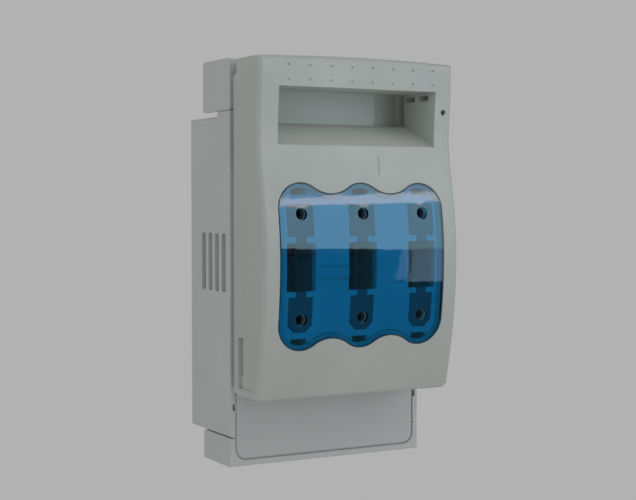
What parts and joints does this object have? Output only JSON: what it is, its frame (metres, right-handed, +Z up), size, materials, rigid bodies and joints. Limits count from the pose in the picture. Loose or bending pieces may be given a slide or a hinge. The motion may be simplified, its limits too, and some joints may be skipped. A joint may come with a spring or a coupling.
{
  "type": "fuse switch disconnector",
  "caption": "Wall-mounted fuse box panel: grey plastic housing, hinged lid with finger recess and blue window, blade fuse-links that swing out with the lid.",
  "frame": {"origin": "centre of the four mounting screws, on the back face that lies on the mounting plate", "axes": "+X to the right as seen by the user, +Z up, +Y into the mounting plate, so the lid faces -Y"},
  "size_m": [0.106, 0.0821, 0.1957],
  "materials": {
    "housing_plastic": "fine-grained moulded light-grey plastic",
    "lid_plastic": "fine-grained moulded light-grey plastic",
    "carrier_plastic": "moulded grey plastic",
    "barrier_plastic": "moulded off-white plastic",
    "seal_rubber": "dark elastic seal",
    "dark_plastic": "moulded dark-grey plastic",
    "clear_blue": "polished clear blue plastic",
    "silvered_copper": "silver-plated copper, satin",
    "zinc_steel": "zinc-plated steel",
    "pin_steel": "turned steel",
    "spring_steel": "rolled spring steel",
    "arc_steel": "zinc-plated sheet steel",
    "ceramic": "glazed ceramic",
    "end_plate_steel": "nickel-plated sheet steel",
    "label_dark": "printed film, dark, no lettering"
  },
  "bodies": {
    "base": {"rear_housing": "housing_plastic", "phase_barrier_left": "barrier_plastic", "phase_barrier_right": "barrier_plastic", "hinge_pin_left": "pin_steel", "hinge_pin_right": "pin_steel", "top_terminal_shroud": "housing_plastic", "bottom_terminal_shroud": "housing_plastic", "bottom_terminal_cover": "housing_plastic", "upper_contact_1": "silvered_copper", "upper_contact_2": "silvered_copper", "upper_contact_3": "silvered_copper", "upper_jaw_springs": "spring_steel", "upper_contact_screws": "zinc_steel", "upper_terminal_screws": "zinc_steel", "upper_terminal_washers": "zinc_steel", "upper_terminal_nuts": "zinc_steel", "upper_arc_plates_1": "arc_steel", "upper_arc_plates_2": "arc_steel", "upper_arc_plates_3": "arc_steel", "upper_arc_cheeks": "barrier_plastic", "lower_contact_1": "silvered_copper", "lower_contact_2": "silvered_copper", "lower_contact_3": "silvered_copper", "lower_jaw_springs": "spring_steel", "lower_contact_screws": "zinc_steel", "lower_terminal_screws": "zinc_steel", "lower_terminal_washers": "zinc_steel", "lower_terminal_nuts": "zinc_steel", "lower_arc_plates_1": "arc_steel", "lower_arc_plates_2": "arc_steel", "lower_arc_plates_3": "arc_steel", "lower_arc_cheeks": "barrier_plastic"},
    "lid": {"lid_shell": "lid_plastic", "viewing_window": "clear_blue", "window_gasket": "seal_rubber", "fuse_carrier": "carrier_plastic", "fuse_grips": "dark_plastic", "fuse_body_1": "ceramic", "fuse_end_plates_1": "end_plate_steel", "fuse_blades_1": "silvered_copper", "fuse_label_1": "label_dark", "fuse_body_2": "ceramic", "fuse_end_plates_2": "end_plate_steel", "fuse_blades_2": "silvered_copper", "fuse_label_2": "label_dark", "fuse_body_3": "ceramic", "fuse_end_plates_3": "end_plate_steel", "fuse_blades_3": "silvered_copper", "fuse_label_3": "label_dark"}
  },
  "joints": [
    {"name": "lid_hinge", "type": "hinge", "parent": "base", "child": "lid", "pos_m": [0, -0.053, -0.0585], "axis": [1, 0, 0], "range_deg": [0, 95]}
  ]
}
